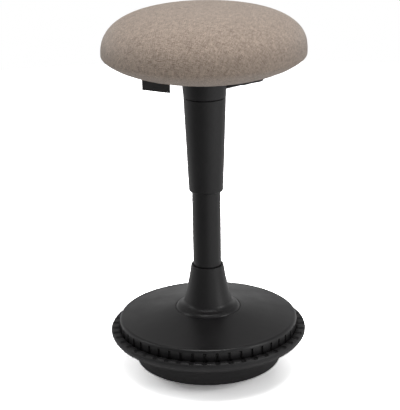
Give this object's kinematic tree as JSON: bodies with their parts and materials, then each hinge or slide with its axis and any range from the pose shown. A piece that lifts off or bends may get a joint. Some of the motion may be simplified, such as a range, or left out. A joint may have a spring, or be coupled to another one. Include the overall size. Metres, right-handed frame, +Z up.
{
  "type": "wobble stool",
  "caption": "Height-adjustable wobble stool: round padded seat on a gas lift with a tapered sleeve, over a weighted round base with a rounded rocking underside.",
  "frame": {"origin": "on the floor under the middle of the base, at the centre of the flat contact disc", "axes": "+Z up along the column, +X towards the release lever, -Y towards the viewer of the picture"},
  "size_m": [0.3502, 0.3502, 0.6555],
  "materials": {
    "sole_rubber": "matt, fine texture",
    "ring_rubber": "satin",
    "gasket_rubber": "matt",
    "bowl_plastic": "fine moulded texture",
    "cover_plastic": "satin",
    "sleeve_plastic": "satin",
    "grip_plastic": "satin",
    "bush_plastic": "natural acetal",
    "tube_paint": "black powder coat",
    "black_steel": "black paint",
    "bare_steel": "zinc plated",
    "screw_steel": "dark zinc",
    "polished_steel": "polished",
    "rod_chrome": "hard chrome",
    "piston_alloy": "turned",
    "cage_brass": "pressed",
    "valve_brass": "turned",
    "cast_weight": "rough casting",
    "plywood": "birch plywood",
    "foam": "moulded seat foam",
    "seat_fabric": "heathered woven upholstery cloth",
    "dust_cloth": "black nonwoven",
    "label_weave": "black woven tape, blank"
  },
  "bodies": {
    "root": {"rocker_sole": "sole_rubber", "rocker_bowl": "bowl_plastic", "bumper_ring": "ring_rubber", "base_cover": "cover_plastic", "neck_cover": "cover_plastic", "neck_gasket": "gasket_rubber", "ballast_weight": "cast_weight", "base_plate": "black_steel", "tube_socket": "black_steel", "base_screws": "screw_steel", "ballast_bolts": "screw_steel", "stand_tube": "tube_paint", "guide_bush": "bush_plastic", "tube_end_plate": "bare_steel", "bearing_lower_race": "bare_steel"},
    "bearing_cage": {"ball_cage": "cage_brass", "bearing_balls": "polished_steel"},
    "lift_rod": {"piston_rod": "rod_chrome", "bearing_upper_race": "bare_steel", "retaining_clip": "bare_steel", "bump_stop": "gasket_rubber", "piston": "piston_alloy", "piston_ring": "bush_plastic"},
    "seat": {"gas_cylinder": "tube_paint", "rod_guide": "piston_alloy", "valve_body": "valve_brass", "height_sleeve": "sleeve_plastic", "sleeve_cap": "sleeve_plastic", "seat_hub": "black_steel", "pivot_pin": "bare_steel", "seat_plate": "black_steel", "seat_bolts": "screw_steel", "t_nuts": "bare_steel", "seat_board": "plywood", "seat_foam": "foam", "seat_cover": "seat_fabric", "cover_staples": "bare_steel", "dust_cover": "dust_cloth", "label_tab": "label_weave"},
    "lever": {"release_lever": "black_steel", "lever_grip": "grip_plastic"},
    "valve_pin": {"valve_pin": "bare_steel"}
  },
  "joints": [
    {"name": "seat_swivel", "type": "hinge", "parent": "root", "child": "lift_rod", "pos_m": [0, 0, 0.0445], "axis": [0, 0, 1], "continuous": true},
    {"name": "bearing_roll", "type": "hinge", "parent": "root", "child": "bearing_cage", "pos_m": [0, 0, 0.0445], "axis": [0, 0, 1], "continuous": true},
    {"name": "seat_height", "type": "slide", "parent": "lift_rod", "child": "seat", "axis": [0, 0, 1], "range_m": [-0.12, 0.01]},
    {"name": "lever_lift", "type": "hinge", "parent": "seat", "child": "lever", "pos_m": [0.03, 0, 0.515], "axis": [0, -1, 0], "range_deg": [0, 5], "stiffness_Nm_per_rad": 6, "springref_deg": -5.73},
    {"name": "valve_press", "type": "slide", "parent": "seat", "child": "valve_pin", "axis": [0, 0, -1], "range_m": [0, 0.003]}
  ],
  "couplings": [
    {"joint": "bearing_roll", "follows": "seat_swivel", "ratio": 0.5},
    {"joint": "valve_press", "follows": "lever_lift", "m_per_rad": 0.03}
  ]
}
